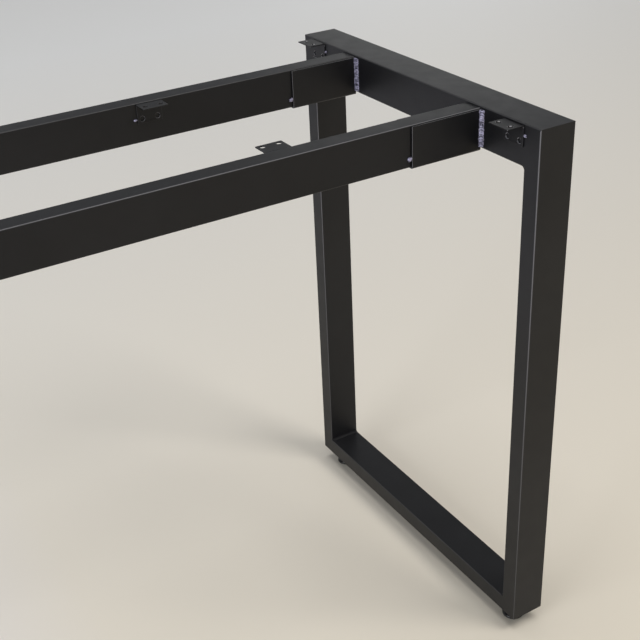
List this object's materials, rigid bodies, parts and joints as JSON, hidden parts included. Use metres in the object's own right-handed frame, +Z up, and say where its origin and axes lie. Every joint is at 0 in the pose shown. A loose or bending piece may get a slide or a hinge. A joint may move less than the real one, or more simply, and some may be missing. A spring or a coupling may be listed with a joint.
{
  "type": "iron table leg",
  "caption": "Welded steel table leg: a closed loop of rectangular tube with levelling feet, saddles on its top bar that carry rails, and drilled angle brackets for the table top.",
  "frame": {"origin": "middle of the top bar's upper face, where the table top lies", "axes": "+Z up; +Y along the top bar from the front post to the rear post; the rails run to -X"},
  "size_m": [0.65, 0.5, 0.732],
  "materials": {
    "coating": "satin powder coat",
    "weld": "coated weld bead",
    "foot": "moulded",
    "zinc": "zinc plated"
  },
  "bodies": {
    "leg": {"top_bar": "coating", "bottom_bar": "coating", "front_post": "coating", "rear_post": "coating", "front_rail": "coating", "rear_rail": "coating", "front_saddle": "coating", "rear_saddle": "coating", "front_corner_bracket": "coating", "rear_corner_bracket": "coating", "front_rail_bracket": "coating", "rear_rail_bracket": "coating", "corner_welds": "weld", "front_saddle_weld": "weld", "rear_saddle_weld": "weld", "front_saddle_tack": "weld", "rear_saddle_tack": "weld", "bracket_tacks": "weld", "front_foot_insert": "zinc", "rear_foot_insert": "zinc"},
    "front_foot": {"front_foot_base": "foot", "front_foot_stud": "zinc"},
    "rear_foot": {"rear_foot_base": "foot", "rear_foot_stud": "zinc"}
  },
  "joints": [
    {"name": "front_foot_travel", "type": "slide", "parent": "leg", "child": "front_foot", "axis": [0, 0, 1], "range_m": [-0.008, 0.008]},
    {"name": "rear_foot_travel", "type": "slide", "parent": "leg", "child": "rear_foot", "axis": [0, 0, 1], "range_m": [-0.008, 0.008]}
  ]
}
